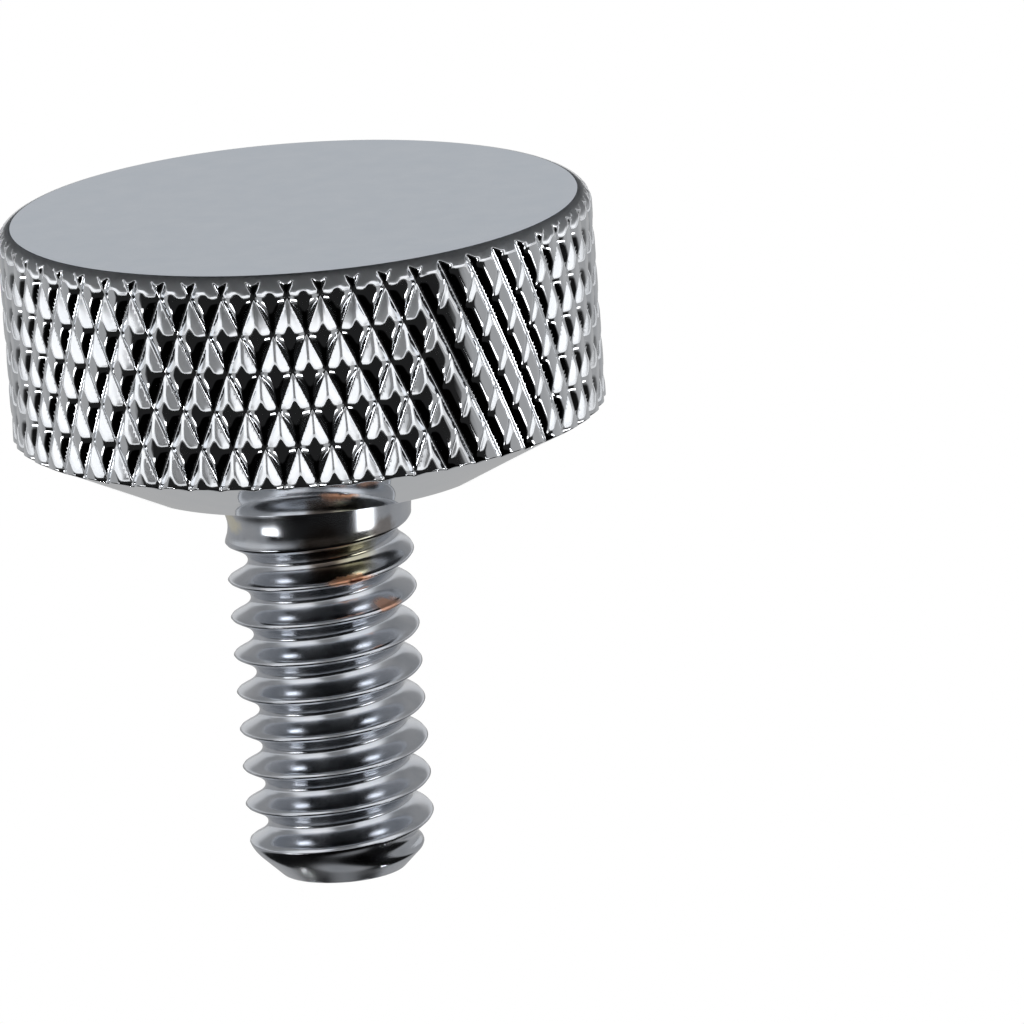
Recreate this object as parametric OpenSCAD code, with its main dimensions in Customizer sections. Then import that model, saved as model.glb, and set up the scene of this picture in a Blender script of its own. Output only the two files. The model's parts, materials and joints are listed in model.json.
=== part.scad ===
// Knob bolt turned from one bar: a knurled knob with a flat face, and a stud for a 1/4-20 thread.
// It stands on the flat face of the knob, and the stud points up. All sizes are in millimetres.

/* [Knob] */
// Diameter of the knob over the crests of the knurl
knob_d = 19.4; // [16:0.1:26]
// Height of the knurled rim, from the flat face to the cone of the underside
rim_h = 6.95; // [4:0.05:12]
// Rounding of the edge of the flat face
face_round = 0.55; // [0.2:0.05:1]
// Height of the cone between the rim and the seat
cone_h = 1.85; // [1:0.05:3]
// Diameter of the flat seat under the knob
seat_d = 12.1; // [9:0.1:15]
// Rounding of the edge of the seat
seat_round = 0.25; // [0.1:0.05:0.5]

/* [Knurl] */
// Number of grooves of each hand around the rim
groove_count = 56; // [40:1:72]
// Angle of the grooves from the axis of the knob
groove_angle = 23.8; // [18:0.1:35]
// Depth of the grooves below the crests
groove_depth = 0.35; // [0.2:0.05:0.5]
// Width of the flat left on each crest
crest_w = 0.3; // [0.1:0.05:0.4]
// Distance of the last row of crests from the lower edge of the rim
row_shift = 0.05; // [0.01:0.01:0.4]

/* [Stud] */
// Diameter of the stud over the crests of its thread
stud_d = 6.15; // [5:0.05:8]
// Length of the stud from the seat to its tip
stud_h = 13.5; // [8:0.05:30]
// Diameter, at the seat, of the plain neck that tapers to the thread
neck_d = 6.45; // [5:0.05:8.5]
// Length of the plain neck
neck_h = 1.55; // [0.6:0.05:4]
// Fillet where the neck meets the seat
root_fillet = 0.2; // [0.1:0.05:0.5]
// Size of the chamfer at the tip
tip_chamfer = 1; // [0.4:0.05:1.4]
// Rounding of the two edges of the tip chamfer
tip_round = 0.35; // [0.1:0.05:0.5]

/* [Hidden] */

knob_r = knob_d / 2;
seat_r = seat_d / 2;
neck_r = neck_d / 2;
stud_r = stud_d / 2;
seat_z = rim_h + cone_h;
neck_z = seat_z + neck_h;
tip_z = seat_z + stud_h;

// Straight pieces in each rounded edge of the section, and sides of the turned form
arc_steps = 6;
turned_sides = 180;

// The knurl is a lattice of groove crossings and crest points, two columns to a groove.
columns = 2 * groove_count;
column_angle = 360 / columns;
column_w = PI * knob_d / columns;
row_h = column_w / tan(groove_angle);
groove_r = knob_r - groove_depth;
flank_w = column_w * cos(groove_angle);
point_r = groove_r + groove_depth * flank_w / (flank_w - crest_w / 2);
rows_above = ceil(rim_h / row_h) + 1;
rows = rows_above + 2;
first_row_z = rim_h - row_shift - rows_above * row_h;
ring_w = 1.5;
cutter_r = knob_r + ring_w;

function unit(v) = v / norm(v);

// Points that round the corner b between a and c with radius r
function rounded(a, b, c, r) =
    let (
        to_a = unit(a - b),
        to_c = unit(c - b),
        half = acos(to_a * to_c) / 2,
        centre = b + unit(to_a + to_c) * r / sin(half),
        start = b + to_a * r / tan(half) - centre,
        end = b + to_c * r / tan(half) - centre,
        sweep = 180 - 2 * half
    )
    [for (i = [0 : arc_steps])
        let (t = sweep * i / arc_steps)
        centre + (sin(sweep - t) * start + sin(t) * end) / sin(sweep)];

// Corners of the turned section, from the flat face round to the tip
face_corner = [knob_r, 0];
rim_corner = [knob_r, rim_h];
seat_corner = [seat_r, seat_z];
root_corner = [neck_r, seat_z];
thread_corner = [stud_r, neck_z];
shoulder_corner = [stud_r, tip_z - tip_chamfer];
tip_corner = [stud_r - tip_chamfer, tip_z];

turned_section = concat(
    [[0, 0]],
    rounded([0, 0], face_corner, rim_corner, face_round),
    [rim_corner],
    rounded(rim_corner, seat_corner, root_corner, seat_round),
    rounded(seat_corner, root_corner, thread_corner, root_fillet),
    [thread_corner],
    rounded(thread_corner, shoulder_corner, tip_corner, tip_round),
    rounded(shoulder_corner, tip_corner, [0, tip_z], tip_round),
    [[0, tip_z]]
);

// The bar turned to its section, before the knurl is rolled
module turned_blank() {
    rotate_extrude($fn = turned_sides)
        polygon(turned_section);
}

// A point at radius r on lattice column i and row k
function lattice_point(r, i, k) =
    [r * cos(i * column_angle), r * sin(i * column_angle), first_row_z + k * row_h];

// Groove crossings and crest points take turns along every row.
function is_crossing(i, k) = (i + k) % 2 == 0;

// A ring around the rim whose inner wall is the knurled face
module knurl_ring() {
    inner = [for (k = [0 : rows], i = [0 : columns - 1])
        lattice_point(is_crossing(i, k) ? groove_r : point_r, i, k)];
    outer = [for (k = [0, rows], i = [0 : columns - 1]) lattice_point(cutter_r, i, k)];
    low = len(inner);
    high = low + columns;
    function at(i, k) = k * columns + (i + columns) % columns;
    function next(i) = (i + 1) % columns;
    // Four facets climb from the grooves to each crest point, or two on the first and last rows.
    facets = [for (k = [0 : rows], i = [0 : columns - 1]) if (!is_crossing(i, k))
        for (side = [-1, 1], way = [-1, 1]) if (k + way >= 0 && k + way <= rows)
            side * way > 0
                ? [at(i, k), at(i, k + way), at(i + side, k)]
                : [at(i, k), at(i + side, k), at(i, k + way)]];
    wall = [for (i = [0 : columns - 1])
        each [[low + i, high + i, low + next(i)], [low + next(i), high + i, high + next(i)]]];
    floor = [for (i = [0 : columns - 1])
        each [[at(i, 0), low + i, at(i + 1, 0)], [at(i + 1, 0), low + i, low + next(i)]]];
    roof = [for (i = [0 : columns - 1])
        each [[at(i, rows), at(i + 1, rows), high + i], [at(i + 1, rows), high + next(i), high + i]]];
    polyhedron(points = concat(inner, outer), faces = concat(facets, wall, floor, roof));
}

module knob_bolt() {
    color("silver")
        difference() {
            turned_blank();
            knurl_ring();
        }
}

knob_bolt();
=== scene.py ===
"""Looks of the knurled knob bolt: one turned, knurled and chrome plated piece on a pale studio floor."""

import json
import math
from collections import namedtuple

import bmesh
import bpy
from mathutils import Matrix, Vector


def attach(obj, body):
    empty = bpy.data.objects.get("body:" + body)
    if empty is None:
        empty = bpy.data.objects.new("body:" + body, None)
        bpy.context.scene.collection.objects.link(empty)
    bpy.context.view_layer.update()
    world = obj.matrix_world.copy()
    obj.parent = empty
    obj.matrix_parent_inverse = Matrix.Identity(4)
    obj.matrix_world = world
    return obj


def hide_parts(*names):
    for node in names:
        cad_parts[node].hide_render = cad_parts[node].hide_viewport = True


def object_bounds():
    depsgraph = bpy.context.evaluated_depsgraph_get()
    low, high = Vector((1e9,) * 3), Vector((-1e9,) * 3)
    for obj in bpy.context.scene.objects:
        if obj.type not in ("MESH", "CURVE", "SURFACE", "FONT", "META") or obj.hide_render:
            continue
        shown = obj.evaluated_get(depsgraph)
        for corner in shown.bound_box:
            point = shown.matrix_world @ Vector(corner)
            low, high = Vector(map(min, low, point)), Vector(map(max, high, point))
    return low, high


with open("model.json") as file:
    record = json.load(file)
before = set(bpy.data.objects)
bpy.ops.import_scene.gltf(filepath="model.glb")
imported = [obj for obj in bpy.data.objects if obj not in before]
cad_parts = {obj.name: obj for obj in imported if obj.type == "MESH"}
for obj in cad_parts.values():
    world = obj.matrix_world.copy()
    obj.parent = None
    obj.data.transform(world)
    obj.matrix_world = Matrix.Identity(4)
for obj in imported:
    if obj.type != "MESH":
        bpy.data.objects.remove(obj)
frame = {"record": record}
cad_low, cad_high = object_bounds()

# Sizes of the part are in millimetres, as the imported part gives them, and meshes are in metres.
MM = 0.001
FULL_TURN = 2 * math.pi
mounts = {mount["name"]: mount for mount in frame["record"]["mounts"]}
KNOB_R = cad_high.x / MM
TIP_Z = cad_high.z / MM
STUD_R = mounts["stud"]["dims"]["r_mm"]
SEAT_Z = mounts["seat_face"]["pos_m"][2] / MM

# Turned form of the knob
RIM_H = 6.95
FACE_ROUND = 0.55
SEAT_R = 6.05
SEAT_ROUND = 0.25
CONE_SLOPE = (KNOB_R - SEAT_R) / (SEAT_Z - RIM_H)

# Knurl: a lattice of groove crossings and crest points, two columns to a groove
GROOVE_COUNT = 56
GROOVE_ANGLE = math.radians(23.8)
GROOVE_DEPTH = 0.22
ROW_SHIFT = 0.05
COLUMNS = 2 * GROOVE_COUNT
COLUMN_TURN = FULL_TURN / COLUMNS
ROW_H = KNOB_R * COLUMN_TURN / math.tan(GROOVE_ANGLE)
LAST_ROW_Z = RIM_H - ROW_SHIFT
GROOVE_R = KNOB_R - GROOVE_DEPTH
# Shares of the way from a groove to a crest point: the flat crest, its rounded edge and the rounded hips
CREST_SHARE = 0.42
CREST_ROUND = 0.4
HIP_ROUND = 0.2
# Rounding of the edge between the knurl and the turned form
KNURL_EDGE_ROUND = 0.03
# Stretch of the rim, in degrees, where the grooves of one hand were rolled faintly
FAINT_AZIMUTH = 42
FAINT_REACH = (11, 19)
FAINT_LIFT = 0.32

# Stud and its 1/4-20 thread, with the flats and roundings of the thread as shares of its pitch and flank
PITCH = 1.27
THREAD_DEPTH = 0.7
CREST_HALF = 0.04
ROOT_HALF = 0.18
CREST_SOFTNESS = 0.2
ROOT_SOFTNESS = 0.62
CREST_LINE_Z = 0.263
NECK_R = 3.225
NECK_H = 1.55
ROOT_FILLET = 0.2
TIP_CHAMFER = 1.0
TIP_ROUND = 0.35
# Distances from the seat and from the tip between which the thread gains its full depth
RUN_OUT = (1.15, 2.85)
TIP_RUN_OUT = (0.5, 1.3)

# Fineness of the mesh
CELL_STEPS = 9
ROUND_STEPS = 9
SEAT_STEPS = 5
NOTCH_STEP = 0.035
NOTCH_MARGIN = 2 * NOTCH_STEP
THREAD_SIDES = 112
PROFILE_STEPS = 18
LEAD_IN_TURNS = 2
CUT_REACH = 1e-8


def soft_min(a, b, reach):
    """The smaller of two numbers, with the corner between them rounded over the given reach."""
    gap = max(reach - abs(a - b), 0.0) / reach
    return min(a, b) - gap * gap * reach / 4


def smooth_step(low, high, value):
    """0 below low, 1 above high, and a smooth climb between them."""
    share = min(max((value - low) / (high - low), 0.0), 1.0)
    return share * share * (3 - 2 * share)


def blank_radius(z):
    """Radius of the turned knob at height z, before the knurl is rolled."""
    if z < FACE_ROUND:
        drop = FACE_ROUND - z
        return KNOB_R - FACE_ROUND + math.sqrt(FACE_ROUND**2 - drop**2)
    return KNOB_R - max(z - RIM_H, 0.0) * CONE_SLOPE


def faint_lift(turn):
    """How far the bottoms of the faintly rolled grooves are lifted at an angle."""
    azimuth = 90 - math.degrees(turn)
    away = abs((azimuth - FAINT_AZIMUTH + 180) % 360 - 180)
    return FAINT_LIFT * (1 - smooth_step(*FAINT_REACH, away))


def knurl_radius(turn, z):
    """Radius of the knurled face at an angle and a height."""
    column = turn / COLUMN_TURN
    row = (LAST_ROW_Z - z) / ROW_H
    # Grooves of one hand lie where the first number is whole, those of the other where the second is.
    first = (column - row + 1) / 2
    second = (column + row + 1) / 2
    from_first = 2 * abs(first - round(first))
    from_second = 2 * abs(second - round(second)) + faint_lift(turn)
    climb = soft_min(from_first, from_second, HIP_ROUND) / (1 - CREST_SHARE)
    return GROOVE_R + GROOVE_DEPTH * soft_min(climb, 1.0, CREST_ROUND)


def knob_radius(turn, z):
    """Radius of the finished knob at an angle and a height."""
    return soft_min(blank_radius(z), knurl_radius(turn, z), KNURL_EDGE_ROUND)


def knob_heights():
    """Heights of the rings on the knob, from the flat face to the foot of the cone."""
    quarter = FULL_TURN / 4
    rounding = [FACE_ROUND * (1 - math.cos(quarter * k / ROUND_STEPS)) for k in range(ROUND_STEPS + 1)]
    step = ROW_H / CELL_STEPS
    notch_low = RIM_H - NOTCH_MARGIN
    notch_high = RIM_H + GROOVE_DEPTH / CONE_SLOPE + NOTCH_MARGIN
    lattice = [LAST_ROW_Z - k * step for k in range(int(LAST_ROW_Z / step))]
    lattice = [z for z in reversed(lattice) if FACE_ROUND + step / 2 < z < notch_low - step / 2]
    notch_count = math.ceil((notch_high - notch_low) / NOTCH_STEP)
    notch = [notch_low + k * NOTCH_STEP for k in range(notch_count + 1)]
    return rounding + lattice + notch


def seat_rounding():
    """Radius and height of the rings that round the edge of the seat."""
    slope = math.atan2(SEAT_Z - RIM_H, KNOB_R - SEAT_R)
    centre_r = SEAT_R - SEAT_ROUND * math.tan(slope / 2)
    centre_z = SEAT_Z - SEAT_ROUND
    angles = [slope * (1 - k / SEAT_STEPS) for k in range(SEAT_STEPS + 1)]
    return [(centre_r + SEAT_ROUND * math.sin(a), centre_z + SEAT_ROUND * math.cos(a)) for a in angles]


def on_circle(radius, turn, z):
    """A point in metres from a radius, an angle and a height in millimetres."""
    return Vector((radius * math.cos(turn), radius * math.sin(turn), z)) * MM


def add_knurled_face(mesh, corners, middle_r):
    """Adds a face with four corners as two, split along the diagonal that lies nearer the true surface."""
    radii = [corner.co.to_2d().length for corner in corners]
    first_gap = abs((radii[0] + radii[2]) / 2 - middle_r * MM)
    second_gap = abs((radii[1] + radii[3]) / 2 - middle_r * MM)
    if first_gap > second_gap:
        corners = corners[1:] + corners[:1]
    mesh.faces.new(corners[:3]).smooth = True
    mesh.faces.new([corners[0], corners[2], corners[3]]).smooth = True


def add_knob(mesh):
    """Adds the knob from its flat face to the edge of its seat."""
    count = COLUMNS * CELL_STEPS
    turns = [FULL_TURN * k / count for k in range(count)]
    half_step = turns[1] / 2
    heights = knob_heights()
    rings = []
    for z in heights:
        rings.append([mesh.verts.new(on_circle(knob_radius(t, z), t, z)) for t in turns])
    for radius, z in seat_rounding():
        rings.append([mesh.verts.new(on_circle(radius, t, z)) for t in turns])
    mesh.faces.new(list(reversed(rings[0]))).smooth = False
    for level, (low, high) in enumerate(zip(rings, rings[1:])):
        knurled = level + 1 < len(heights)
        for k in range(count):
            after = (k + 1) % count
            corners = [low[k], low[after], high[after], high[k]]
            if knurled:
                middle_z = (heights[level] + heights[level + 1]) / 2
                add_knurled_face(mesh, corners, knob_radius(turns[k] + half_step, middle_z))
            else:
                mesh.faces.new(corners).smooth = True


def thread_profile(across):
    """Depth below the crest, from 0 to 1, at a share of the pitch away from the crest's middle."""
    flank = (abs(across) - CREST_HALF) / (0.5 - CREST_HALF - ROOT_HALF)
    if flank < 0.5:
        return 1 - soft_min(1 - flank, 1.0, CREST_SOFTNESS)
    return soft_min(flank, 1.0, ROOT_SOFTNESS)


def stud_radius(turn, z):
    """Radius of the stud at an angle and a height."""
    along = (z - CREST_LINE_Z) / PITCH - turn / FULL_TURN
    groove_z = CREST_LINE_Z + PITCH * (math.floor(along) + 0.5 + turn / FULL_TURN)
    cut = smooth_step(*RUN_OUT, groove_z - SEAT_Z) * smooth_step(*TIP_RUN_OUT, TIP_Z - groove_z)
    crest = max(NECK_R + (STUD_R - NECK_R) * (z - SEAT_Z) / NECK_H, STUD_R)
    radius = crest - THREAD_DEPTH * cut * thread_profile(along - round(along))
    # The chamfer at the tip cuts the thread, and a small fillet joins the neck to the seat.
    chamfer = TIP_Z + STUD_R - TIP_CHAMFER - z
    radius = soft_min(radius, chamfer, TIP_ROUND)
    below = SEAT_Z + ROOT_FILLET - z
    if below > 0:
        rise = min(below, ROOT_FILLET)
        radius += ROOT_FILLET - math.sqrt(ROOT_FILLET**2 - rise**2)
    return radius


def add_stud(mesh):
    """Adds the threaded stud as one long helical strip that runs past the seat and the tip."""
    start_z = SEAT_Z - LEAD_IN_TURNS * PITCH
    turns = math.ceil((TIP_Z - start_z) / PITCH) + 1
    count = turns * THREAD_SIDES
    points = []
    for k in range(count + 1):
        turn = FULL_TURN * k / THREAD_SIDES
        row = []
        for step in range(PROFILE_STEPS):
            z = start_z + PITCH * (k / THREAD_SIDES + step / PROFILE_STEPS)
            row.append(mesh.verts.new(on_circle(stud_radius(turn, z), turn, z)))
        points.append(row)
    for k in range(count):
        for step in range(PROFILE_STEPS):
            if step + 1 < PROFILE_STEPS:
                above = (points[k + 1][step + 1], points[k][step + 1])
            elif k + 1 + THREAD_SIDES <= count:
                above = (points[k + 1 + THREAD_SIDES][0], points[k + THREAD_SIDES][0])
            else:
                continue
            mesh.faces.new((points[k][step], points[k + 1][step], *above)).smooth = True


def cut_level(mesh, z, keep_above):
    """Cuts the mesh at height z, drops one side of it, and returns the edges left open there."""
    cut = bmesh.ops.bisect_plane(
        mesh,
        geom=[*mesh.verts, *mesh.edges, *mesh.faces],
        dist=CUT_REACH,
        plane_co=(0, 0, z * MM),
        plane_no=(0, 0, 1),
        clear_inner=keep_above,
        clear_outer=not keep_above,
    )
    return [item for item in cut["geom_cut"] if isinstance(item, bmesh.types.BMEdge)]


def finished_mesh(name, mesh):
    """Turns a mesh under construction into a finished one."""
    data = bpy.data.meshes.new(name)
    mesh.to_mesh(data)
    mesh.free()
    return data


def add_object(name, data):
    """Makes an object of a mesh, a lamp or a camera, and puts it in the scene."""
    thing = bpy.data.objects.new(name, data)
    bpy.context.scene.collection.objects.link(thing)
    return thing


def make_stud():
    """The threaded stud as a mesh, open at the seat and closed by a flat face at the tip."""
    stud = bmesh.new()
    add_stud(stud)
    cut_level(stud, SEAT_Z, keep_above=True)
    tip_edges = cut_level(stud, TIP_Z, keep_above=False)
    for face in bmesh.ops.edgeloop_fill(stud, edges=tip_edges)["faces"]:
        face.smooth = False
    return finished_mesh("stud", stud)


def make_bolt():
    """The whole bolt as one closed mesh, with flat shading on its three flat faces."""
    bolt = bmesh.new()
    add_knob(bolt)
    stud = make_stud()
    bolt.from_mesh(stud)
    bpy.data.meshes.remove(stud)
    open_edges = [edge for edge in bolt.edges if edge.is_boundary]
    seat = bmesh.ops.triangle_fill(bolt, edges=open_edges, normal=(0, 0, 1), use_beauty=True)
    for item in seat["geom"]:
        if isinstance(item, bmesh.types.BMFace):
            item.smooth = False
    bmesh.ops.recalc_face_normals(bolt, faces=bolt.faces[:])
    return add_object("knob_bolt_plated", finished_mesh("knob_bolt_plated", bolt))


def new_material(name):
    """A new material, its node tree and its shader."""
    material = bpy.data.materials.new(name)
    material.use_nodes = True
    tree = material.node_tree
    return material, tree, tree.nodes["Principled BSDF"]


def link(tree, source, target):
    """Links one socket to another."""
    tree.links.new(source, target)


def join(tree, operation, a, b):
    """Joins two sockets by a sum of one kind, and gives the result's socket."""
    node = tree.nodes.new("ShaderNodeMath")
    node.operation = operation
    link(tree, a, node.inputs[0])
    link(tree, b, node.inputs[1])
    return node.outputs["Value"]


def ramp(tree, source, low, high, to_low, to_high):
    """A smooth climb from one value to another while the source goes from low to high."""
    node = tree.nodes.new("ShaderNodeMapRange")
    node.interpolation_type = "SMOOTHSTEP"
    node.inputs["From Min"].default_value = low
    node.inputs["From Max"].default_value = high
    node.inputs["To Min"].default_value = to_low
    node.inputs["To Max"].default_value = to_high
    link(tree, source, node.inputs["Value"])
    return node.outputs["Result"]


def turn_ramp(tree, turn, limits, to_low, to_high):
    """A ramp over an angle in radians, with its limits in degrees."""
    low, high = limits
    return ramp(tree, turn, math.radians(low), math.radians(high), to_low, to_high)


def height_ramp(tree, height, limits, to_low, to_high):
    """A ramp over the height of a direction, with its limits in degrees above the horizon."""
    low, high = limits
    return ramp(tree, height, math.sin(math.radians(low)), math.sin(math.radians(high)), to_low, to_high)


def vector_step(tree, operation, source, amount):
    """One sum of a vector socket with a fixed vector, and the node that makes it."""
    node = tree.nodes.new("ShaderNodeVectorMath")
    node.operation = operation
    node.inputs[1].default_value = amount
    link(tree, source, node.inputs[0])
    return node


def length(tree, source):
    """Length of a vector socket."""
    node = tree.nodes.new("ShaderNodeVectorMath")
    node.operation = "LENGTH"
    link(tree, source, node.inputs[0])
    return node.outputs["Value"]


def split(tree, source):
    """The three parts of a vector socket."""
    node = tree.nodes.new("ShaderNodeSeparateXYZ")
    link(tree, source, node.inputs["Vector"])
    return node.outputs["X"], node.outputs["Y"], node.outputs["Z"]


def noise(tree, source, scale, detail):
    """A noise texture over a vector socket."""
    node = tree.nodes.new("ShaderNodeTexNoise")
    node.inputs["Scale"].default_value = scale
    node.inputs["Detail"].default_value = detail
    link(tree, source, node.inputs["Vector"])
    return node


def turn_aside(tree, x, y, front):
    """Angle in radians, to either side, between a direction and a front that is given in degrees."""
    turned = tree.nodes.new("ShaderNodeMath")
    turned.operation = "SUBTRACT"
    turned.inputs[1].default_value = math.radians(front)
    link(tree, join(tree, "ARCTAN2", x, y), turned.inputs[0])
    aside = tree.nodes.new("ShaderNodeMath")
    aside.operation = "ABSOLUTE"
    link(tree, turned.outputs["Value"], aside.inputs[0])
    return aside.outputs["Value"]


# Plate: each pair of tones and of roughness values follows a fine mottle
KNOB_TONES = ((0.83, 0.86, 0.9), (0.88, 0.9, 0.93))
STUD_TONES = ((0.52, 0.55, 0.6), (0.66, 0.68, 0.72))
KNOB_GLOSS = (0.03, 0.08)
STUD_GLOSS = (0.13, 0.22)
MOTTLE_SCALE = 900.0
MOTTLE_DETAIL = 3.0
MOTTLE_BAND = (0.3, 0.7)
# Heights between which the knob's bright plate gives way to the stud's duller plate
DULL_FROM_Z = SEAT_Z
DULL_FULL_Z = SEAT_Z + 0.3

# Stains on the stud, and one painted reflection on its neck: degrees round it, height above the floor,
# width, height of the spot, and strength
StainAndReflectionSpot = namedtuple("StainAndReflectionSpot", "azimuth height width tall strength")
OLIVE_STAIN = StainAndReflectionSpot(azimuth=28, height=11.1, width=2.4, tall=1.7, strength=0.75)
BROWN_STAIN = StainAndReflectionSpot(azimuth=6, height=10.9, width=2.0, tall=2.4, strength=0.85)
SMALL_BROWN_STAIN = StainAndReflectionSpot(azimuth=46, height=10.4, width=1.2, tall=0.9, strength=0.6)
# Painted reflection: a lighter cream patch on the left of the neck, where the neck mirrors something bright.
PAINTED_CREAM_REFLECTION = StainAndReflectionSpot(azimuth=-67, height=10.1, width=1.6, tall=0.9, strength=0.8)
OLIVE_FILM = (0.42, 0.39, 0.24)
BROWN_FILM = (0.2, 0.15, 0.11)
# Tint of the painted reflection on the neck
PAINTED_REFLECTION_TINT = (0.85, 0.8, 0.62)
TINTS_AND_PAINTED_REFLECTION = (
    (OLIVE_STAIN, OLIVE_FILM),
    (BROWN_STAIN, BROWN_FILM),
    (SMALL_BROWN_STAIN, BROWN_FILM),
    (PAINTED_CREAM_REFLECTION, PAINTED_REFLECTION_TINT),
)
# Two spots on crests of the thread where the plate is worn through, one of them with a dark red core
LONG_WEAR = StainAndReflectionSpot(azimuth=20, height=11.95, width=1.8, tall=0.4, strength=1.0)
SHORT_WEAR = StainAndReflectionSpot(azimuth=47, height=13.05, width=1.3, tall=0.5, strength=0.8)
WEAR_CORE = StainAndReflectionSpot(azimuth=24, height=11.98, width=0.6, tall=0.2, strength=0.9)
BARE_COPPER = (1.0, 0.53, 0.33)
RED_CORE = (0.1, 0.02, 0.01)
WORN_ROUGHNESS = 0.45
# A spot fades out between these shares of its half size, and its edge wobbles by these millimetres.
STAIN_EDGE = (0.5, 1.1)
WOBBLE = (0.6, 0.3, 0)
WOBBLE_SCALE = 3.0
WOBBLE_DETAIL = 4.0
NOISE_MIDDLE = (0.5, 0.5, 0.5)


def two_tones(tree, source, tones):
    """A colour that goes from the first tone to the second over the mottle's band."""
    node = tree.nodes.new("ShaderNodeValToRGB")
    for element, position, tone in zip(node.color_ramp.elements, MOTTLE_BAND, tones):
        element.position = position
        element.color = (*tone, 1)
    link(tree, source, node.inputs["Fac"])
    return node.outputs["Color"]


def mix(tree, share, first, second):
    """The first colour where the share is 0, and the second where it is 1."""
    node = tree.nodes.new("ShaderNodeMixRGB")
    link(tree, share, node.inputs["Fac"])
    link(tree, first, node.inputs["Color1"])
    if isinstance(second, tuple):
        node.inputs["Color2"].default_value = (*second, 1)
    else:
        link(tree, second, node.inputs["Color2"])
    return node.outputs["Color"]


def stud_map(tree, place):
    """Places on the stud as millimetres round it and along it, with a small wobble for ragged edges."""
    x, y, z = split(tree, place)
    flat = tree.nodes.new("ShaderNodeCombineXYZ")
    link(tree, join(tree, "ARCTAN2", x, y), flat.inputs["X"])
    link(tree, z, flat.inputs["Y"])
    sized = vector_step(tree, "MULTIPLY", flat.outputs["Vector"], (STUD_R, 1 / MM, 0)).outputs["Vector"]
    ragged = noise(tree, sized, WOBBLE_SCALE, WOBBLE_DETAIL).outputs["Color"]
    centred = vector_step(tree, "SUBTRACT", ragged, NOISE_MIDDLE).outputs["Vector"]
    moved = vector_step(tree, "MULTIPLY_ADD", centred, WOBBLE)
    link(tree, sized, moved.inputs[2])
    return moved.outputs["Vector"]


def cover(tree, where, stain_and_reflection_spot):
    """How much an oval spot covers, from its strength in the middle to 0 past its edge: a stain, a worn spot
    or the painted reflection.
    """
    centre = (math.radians(stain_and_reflection_spot.azimuth) * STUD_R, stain_and_reflection_spot.height, 0)
    half_size = (stain_and_reflection_spot.width / 2, stain_and_reflection_spot.tall / 2, 1)
    offset = vector_step(tree, "SUBTRACT", where, centre).outputs["Vector"]
    scaled = vector_step(tree, "DIVIDE", offset, half_size).outputs["Vector"]
    return ramp(tree, length(tree, scaled), *STAIN_EDGE, stain_and_reflection_spot.strength, 0.0)


def chrome_material():
    """Bright chrome plate on the knob, duller on the stud, with stains, a painted reflection on the neck and
    two worn spots near the knob.
    """
    material, tree, shader = new_material("chrome_plate")
    shader.inputs["Metallic"].default_value = 1.0
    place = tree.nodes.new("ShaderNodeTexCoord").outputs["Object"]
    mottle = noise(tree, place, MOTTLE_SCALE, MOTTLE_DETAIL).outputs["Fac"]
    height = split(tree, place)[2]
    on_stud = ramp(tree, height, DULL_FROM_Z * MM, DULL_FULL_Z * MM, 0.0, 1.0)
    where = stud_map(tree, place)
    wear = join(tree, "MAXIMUM", cover(tree, where, LONG_WEAR), cover(tree, where, SHORT_WEAR))

    colour = mix(tree, on_stud, two_tones(tree, mottle, KNOB_TONES), two_tones(tree, mottle, STUD_TONES))
    # The stains tint the plate, and the cream patch paints a reflection on the neck.
    for stain_and_reflection_spot, film_and_reflection_tint in TINTS_AND_PAINTED_REFLECTION:
        colour = mix(tree, cover(tree, where, stain_and_reflection_spot), colour, film_and_reflection_tint)
    colour = mix(tree, wear, colour, BARE_COPPER)
    colour = mix(tree, cover(tree, where, WEAR_CORE), colour, RED_CORE)
    link(tree, colour, shader.inputs["Base Color"])

    knob_gloss = ramp(tree, mottle, *MOTTLE_BAND, *KNOB_GLOSS)
    stud_gloss = join(tree, "MULTIPLY", ramp(tree, mottle, *MOTTLE_BAND, *STUD_GLOSS), on_stud)
    worn = ramp(tree, wear, 0.0, 1.0, 0.0, WORN_ROUGHNESS)
    gloss = join(tree, "MAXIMUM", join(tree, "MAXIMUM", knob_gloss, stud_gloss), worn)
    link(tree, gloss, shader.inputs["Roughness"])
    return material


# Camera of the photograph, which looks up at the bolt from below the floor and is rolled over, so that
# the knob is at the top of the frame. Angles are in degrees, and the distance is in metres.
CAMERA_TURN = 2.6
CAMERA_DROP = 14.36
CAMERA_ROLL = 4.44
CAMERA_DISTANCE = 0.4617
FRAME_PIXELS = 1024
PIXELS_PER_MM = 30.62
SENSOR_MM = 36.0
FOCUS = Vector((0, 0, 10.06 * MM))
FOCUS_PIXEL = (316.5, 505.5)

# Floor: a round sheet in metres, open under the flat face of the knob, with a turned-up lip far out
HOLE_MARGIN = 0.1
FLOOR_HOLE_R = (KNOB_R - FACE_ROUND + HOLE_MARGIN) * MM
FLOOR_NEAR_R = 0.02
FLOOR_MIDDLE_R = 0.1
FLOOR_FLAT_R = 0.9
FLOOR_R = 1.15
FLOOR_LIP = 0.09
LIP_STEPS = 8
FLOOR_SIDES = 128
FLOOR_TONE = (0.72, 0.72, 0.72, 1)
FLOOR_ROUGHNESS = 0.9
WHITE = (1, 1, 1, 1)

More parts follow.
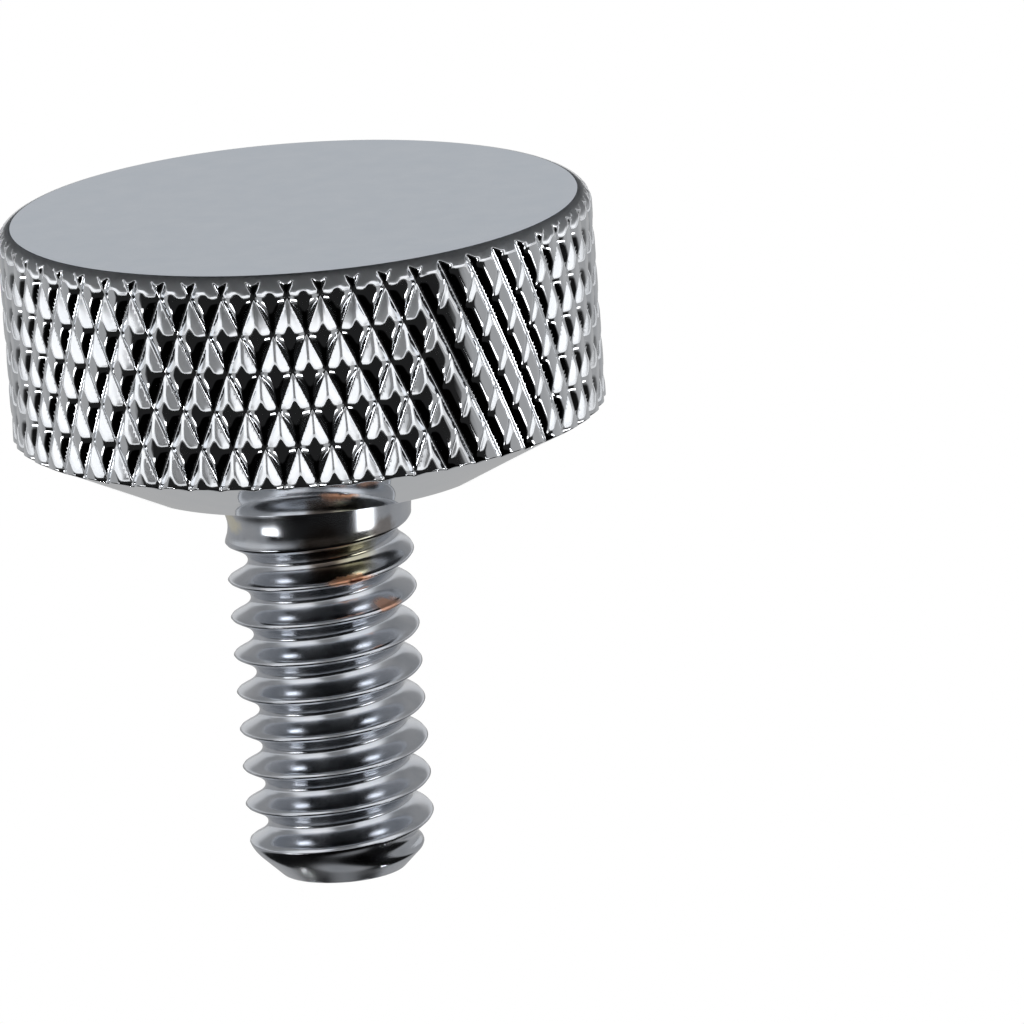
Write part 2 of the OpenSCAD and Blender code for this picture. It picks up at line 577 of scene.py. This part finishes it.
# Painted light in the floor's glow: pale fields at the sides of the bolt, painted shade in front
# and a grey back. Turns are in degrees from the photograph's camera, and radii are in metres from the bolt.
FRONT_GLOW = 0.06
SIDE_GLOW = 0.88
SIDE_RISE = (12, 25)
SIDE_FALL = (66, 92)
SIDE_REST = 0.2
BACK_GLOW = 0.2
BACK_RISE = (100, 140)
BEHIND = (95, 130)
FAR_GLOW = 0.6
FAR_R = (0.07, 0.2)
FAR_BEHIND_R = (0.035, 0.08)
PAINTED_CONTACT_SHADE_R = (0.0115, 0.0165)


def painted_floor_light(tree, place):
    """Strength of the floor's painted light at a place on it: bright fields at the sides, painted shade in
    front and next to the knob.
    """
    x, y, _ = split(tree, place)
    turn = turn_aside(tree, x, y, CAMERA_TURN)
    reach = length(tree, place)
    rise = turn_ramp(tree, turn, SIDE_RISE, FRONT_GLOW, SIDE_GLOW)
    fall = turn_ramp(tree, turn, SIDE_FALL, 1.0, SIDE_REST)
    back = turn_ramp(tree, turn, BACK_RISE, 0.0, BACK_GLOW)
    near = join(tree, "MAXIMUM", join(tree, "MULTIPLY", rise, fall), back)
    behind = turn_ramp(tree, turn, BEHIND, 0.0, 1.0)
    far_behind = join(tree, "MULTIPLY", ramp(tree, reach, *FAR_BEHIND_R, 0.0, FAR_GLOW), behind)
    far = join(tree, "MAXIMUM", ramp(tree, reach, *FAR_R, 0.0, FAR_GLOW), far_behind)
    # Painted contact shadow: close to the knob the floor's glow fades to dark, apart from behind it.
    shade = join(tree, "MAXIMUM", ramp(tree, reach, *PAINTED_CONTACT_SHADE_R, 0.0, 1.0), behind)
    return join(tree, "MULTIPLY", shade, join(tree, "MAXIMUM", near, far))


def floor_material():
    """Pale matt floor with painted light and painted shade in its glow, which shows from above only, because
    the photograph looks at the bolt from below it.
    """
    material, tree, shader = new_material("pale_floor_with_painted_light")
    shader.inputs["Base Color"].default_value = FLOOR_TONE
    shader.inputs["Roughness"].default_value = FLOOR_ROUGHNESS
    shader.inputs["Emission Color"].default_value = WHITE
    # The camera and the chrome see the glow, which is painted light. It lights nothing else, and the bolt's
    # shadow stays.
    ray = tree.nodes.new("ShaderNodeLightPath")
    seen = join(tree, "MAXIMUM", ray.outputs["Is Camera Ray"], ray.outputs["Is Glossy Ray"])
    seen = join(tree, "MAXIMUM", seen, ray.outputs["Is Transmission Ray"])
    place = tree.nodes.new("ShaderNodeTexCoord").outputs["Object"]
    link(tree, join(tree, "MULTIPLY", seen, painted_floor_light(tree, place)), shader.inputs["Emission Strength"])
    side = tree.nodes.new("ShaderNodeNewGeometry")
    clear = tree.nodes.new("ShaderNodeBsdfTransparent")
    one_sided = tree.nodes.new("ShaderNodeMixShader")
    link(tree, side.outputs["Backfacing"], one_sided.inputs["Fac"])
    link(tree, shader.outputs["BSDF"], one_sided.inputs[1])
    link(tree, clear.outputs["BSDF"], one_sided.inputs[2])
    link(tree, one_sided.outputs["Shader"], tree.nodes["Material Output"].inputs["Surface"])
    return material


def make_floor():
    """A round pale floor with a turned-up lip, open under the flat face of the knob."""
    rings = [(radius, 0.0) for radius in (FLOOR_HOLE_R, FLOOR_NEAR_R, FLOOR_MIDDLE_R, FLOOR_FLAT_R)]
    for k in range(1, LIP_STEPS + 1):
        share = k / LIP_STEPS
        rings.append((FLOOR_FLAT_R + (FLOOR_R - FLOOR_FLAT_R) * share, FLOOR_LIP * share * share))
    turns = [FULL_TURN * k / FLOOR_SIDES for k in range(FLOOR_SIDES)]
    mesh = bmesh.new()
    made = []
    for radius, z in rings:
        made.append([mesh.verts.new((radius * math.cos(t), radius * math.sin(t), z)) for t in turns])
    for inner, outer in zip(made, made[1:]):
        for k in range(FLOOR_SIDES):
            after = (k + 1) % FLOOR_SIDES
            mesh.faces.new((inner[k], outer[k], outer[after], inner[after])).smooth = True
    floor = add_object("floor", finished_mesh("floor", mesh))
    floor.data.materials.append(floor_material())


def direction(azimuth, elevation):
    """A unit vector from the bolt. Azimuth 0 is the photograph's front, and the right of it is positive."""
    around = math.radians(azimuth)
    up = math.radians(elevation)
    return Vector((math.sin(around) * math.cos(up), math.cos(around) * math.cos(up), math.sin(up)))


# Two soft spots behind the bolt, and the round pools that they light on the floor at its sides
LAMP_DISTANCE = 0.5
LAMP_TURN = 135
LAMP_HEIGHT = 60
LAMP_R = 0.02
LAMP_POWER = 3.0
POOL_SIDE = 0.03
POOL_FRONT = 0.024
POOL_R = 0.024
POOL_SOFTNESS = 0.6


def make_lights():
    """Two soft spots, which light the floor to the left and to the right of the bolt."""
    for name, side in (("left_key", -1), ("right_key", 1)):
        place = direction(side * LAMP_TURN, LAMP_HEIGHT) * LAMP_DISTANCE
        pool = Vector((side * POOL_SIDE, POOL_FRONT, 0))
        back = place - pool
        lamp = bpy.data.lights.new(name, "SPOT")
        lamp.energy = LAMP_POWER
        lamp.shadow_soft_size = LAMP_R
        lamp.spot_blend = POOL_SOFTNESS
        lamp.spot_size = 2 * math.atan(POOL_R / back.length)
        holder = add_object(name, lamp)
        holder.location = place
        holder.rotation_euler = back.to_track_quat("Z", "Y").to_euler()


# Room round the bolt, as the chrome mirrors it: turns in degrees from the front to either side, and
# heights in degrees above the horizon
FRONT_WALL = 0.015
SIDE_WALL = 0.36
SIDE_WALL_TURN = (60, 72)
BACK_WALL = 0.06
BACK_WALL_TURN = (100, 125)
WALL_TOP = (28, 35)
ABOVE_WALL = 0.02
HORIZON_LIGHT = 0.4
HORIZON_TOP = (5, 9)
HORIZON_TURN = (18, 35)
STRIP_LIGHT = 4.8
STRIP_START = (50, 55)
STRIP_END = (72, 80)
STRIP_FOOT = (20, 22)
STRIP_TOP = (26, 29)
UNDER_TONE = (0.46, 0.48, 0.505)
# The wall behind reaches higher, and the cone of the knob mirrors it.
RAISE_TURN = (140, 155)
# Heights from here on are the z of a unit vector, and so is the raise of the wall behind.
RAISE = 0.35
CEILING_LIGHT = 0.32
CEILING_HEIGHT = (0.92, 0.98)
GROUND_HEIGHT = (-0.01, 0.01)


def walls(tree, turn, height):
    """Grey walls at the sides and behind, with a dark front, up to the wall's top."""
    side = turn_ramp(tree, turn, SIDE_WALL_TURN, FRONT_WALL, SIDE_WALL)
    back = turn_ramp(tree, turn, BACK_WALL_TURN, 0.0, BACK_WALL)
    lowered = join(tree, "SUBTRACT", height, turn_ramp(tree, turn, RAISE_TURN, 0.0, RAISE))
    top = height_ramp(tree, lowered, WALL_TOP, 1.0, ABOVE_WALL)
    return join(tree, "MULTIPLY", join(tree, "ADD", side, back), top)


def strips(tree, turn, height):
    """A bright strip of light to each side of the front, which the grooves of the thread mirror."""
    start = turn_ramp(tree, turn, STRIP_START, 0.0, STRIP_LIGHT)
    end = turn_ramp(tree, turn, STRIP_END, 1.0, 0.0)
    foot = height_ramp(tree, height, STRIP_FOOT, 0.0, 1.0)
    top = height_ramp(tree, height, STRIP_TOP, 1.0, 0.0)
    return join(tree, "MULTIPLY", join(tree, "MULTIPLY", start, end), join(tree, "MULTIPLY", foot, top))


def make_world():
    """The room round the bolt: walls, light strips, a light horizon and a ceiling pale only overhead."""
    world = bpy.data.worlds.new("studio")
    bpy.context.scene.world = world
    world.use_nodes = True
    tree = world.node_tree
    x, y, height = split(tree, tree.nodes.new("ShaderNodeTexCoord").outputs["Generated"])
    turn = turn_aside(tree, x, y, 0)
    ceiling = ramp(tree, height, *CEILING_HEIGHT, 0.0, CEILING_LIGHT)
    room = join(tree, "ADD", walls(tree, turn, height), ceiling)
    room = join(tree, "MAXIMUM", room, strips(tree, turn, height))
    horizon = height_ramp(tree, height, HORIZON_TOP, HORIZON_LIGHT, 0.0)
    off_front = turn_ramp(tree, turn, HORIZON_TURN, 0.0, 1.0)
    room = join(tree, "MAXIMUM", room, join(tree, "MULTIPLY", horizon, off_front))
    # Below the floor is the even grey that the flat face of the knob mirrors in the photograph.
    under = ramp(tree, height, *GROUND_HEIGHT, 1.0, 0.0)
    link(tree, mix(tree, under, room, UNDER_TONE), tree.nodes["Background"].inputs["Color"])


# White card behind the bolt, in metres
CARD_SIZE = 0.16
CARD_DISTANCE = 1.0


def make_backdrop(camera_place, focus):
    """A small white card behind the bolt, which fills the photograph's view."""
    away = (focus - camera_place).normalized()
    mesh = bmesh.new()
    bmesh.ops.create_grid(mesh, x_segments=1, y_segments=1, size=CARD_SIZE / 2)
    card = add_object("backdrop", finished_mesh("backdrop", mesh))
    card.location = focus + away * CARD_DISTANCE
    card.rotation_euler = (-away).to_track_quat("Z", "Y").to_euler()
    material, tree, _ = new_material("white_card")
    glow = tree.nodes.new("ShaderNodeEmission")
    glow.inputs["Color"].default_value = WHITE
    link(tree, glow.outputs["Emission"], tree.nodes["Material Output"].inputs["Surface"])
    card.data.materials.append(material)


def make_camera():
    """Sets the camera at the photograph's viewing angle, and gives its place and the middle of its view."""
    back = direction(CAMERA_TURN, -CAMERA_DROP)
    place = FOCUS + back * CAMERA_DISTANCE
    ahead = -back
    right = ahead.cross(Vector((0, 0, -1))).normalized()
    up = right.cross(ahead)
    roll = math.radians(CAMERA_ROLL)
    right, up = right * math.cos(roll) - up * math.sin(roll), right * math.sin(roll) + up * math.cos(roll)
    focal_pixels = PIXELS_PER_MM * CAMERA_DISTANCE / MM
    # The view turns a little so that the focus falls on its pixel and not on the middle of the frame.
    aside = (FRAME_PIXELS / 2 - FOCUS_PIXEL[0]) / focal_pixels
    above = (FOCUS_PIXEL[1] - FRAME_PIXELS / 2) / focal_pixels
    ahead = (ahead + right * aside + up * above).normalized()
    right = ahead.cross(up).normalized()
    up = right.cross(ahead)
    data = bpy.data.cameras.new("camera")
    data.sensor_width = SENSOR_MM
    data.lens = focal_pixels * SENSOR_MM / FRAME_PIXELS
    camera = add_object("camera", data)
    turned = Matrix((right, up, -ahead)).transposed().to_4x4()
    camera.matrix_world = Matrix.Translation(place) @ turned
    bpy.context.scene.camera = camera
    return place, place + ahead * CAMERA_DISTANCE


bolt = make_bolt()
bolt.data.materials.append(chrome_material())
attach(bolt, "root")
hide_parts("knob_bolt")

make_floor()
make_lights()
make_world()
make_backdrop(*make_camera())
bpy.context.scene.view_settings.view_transform = "Standard"
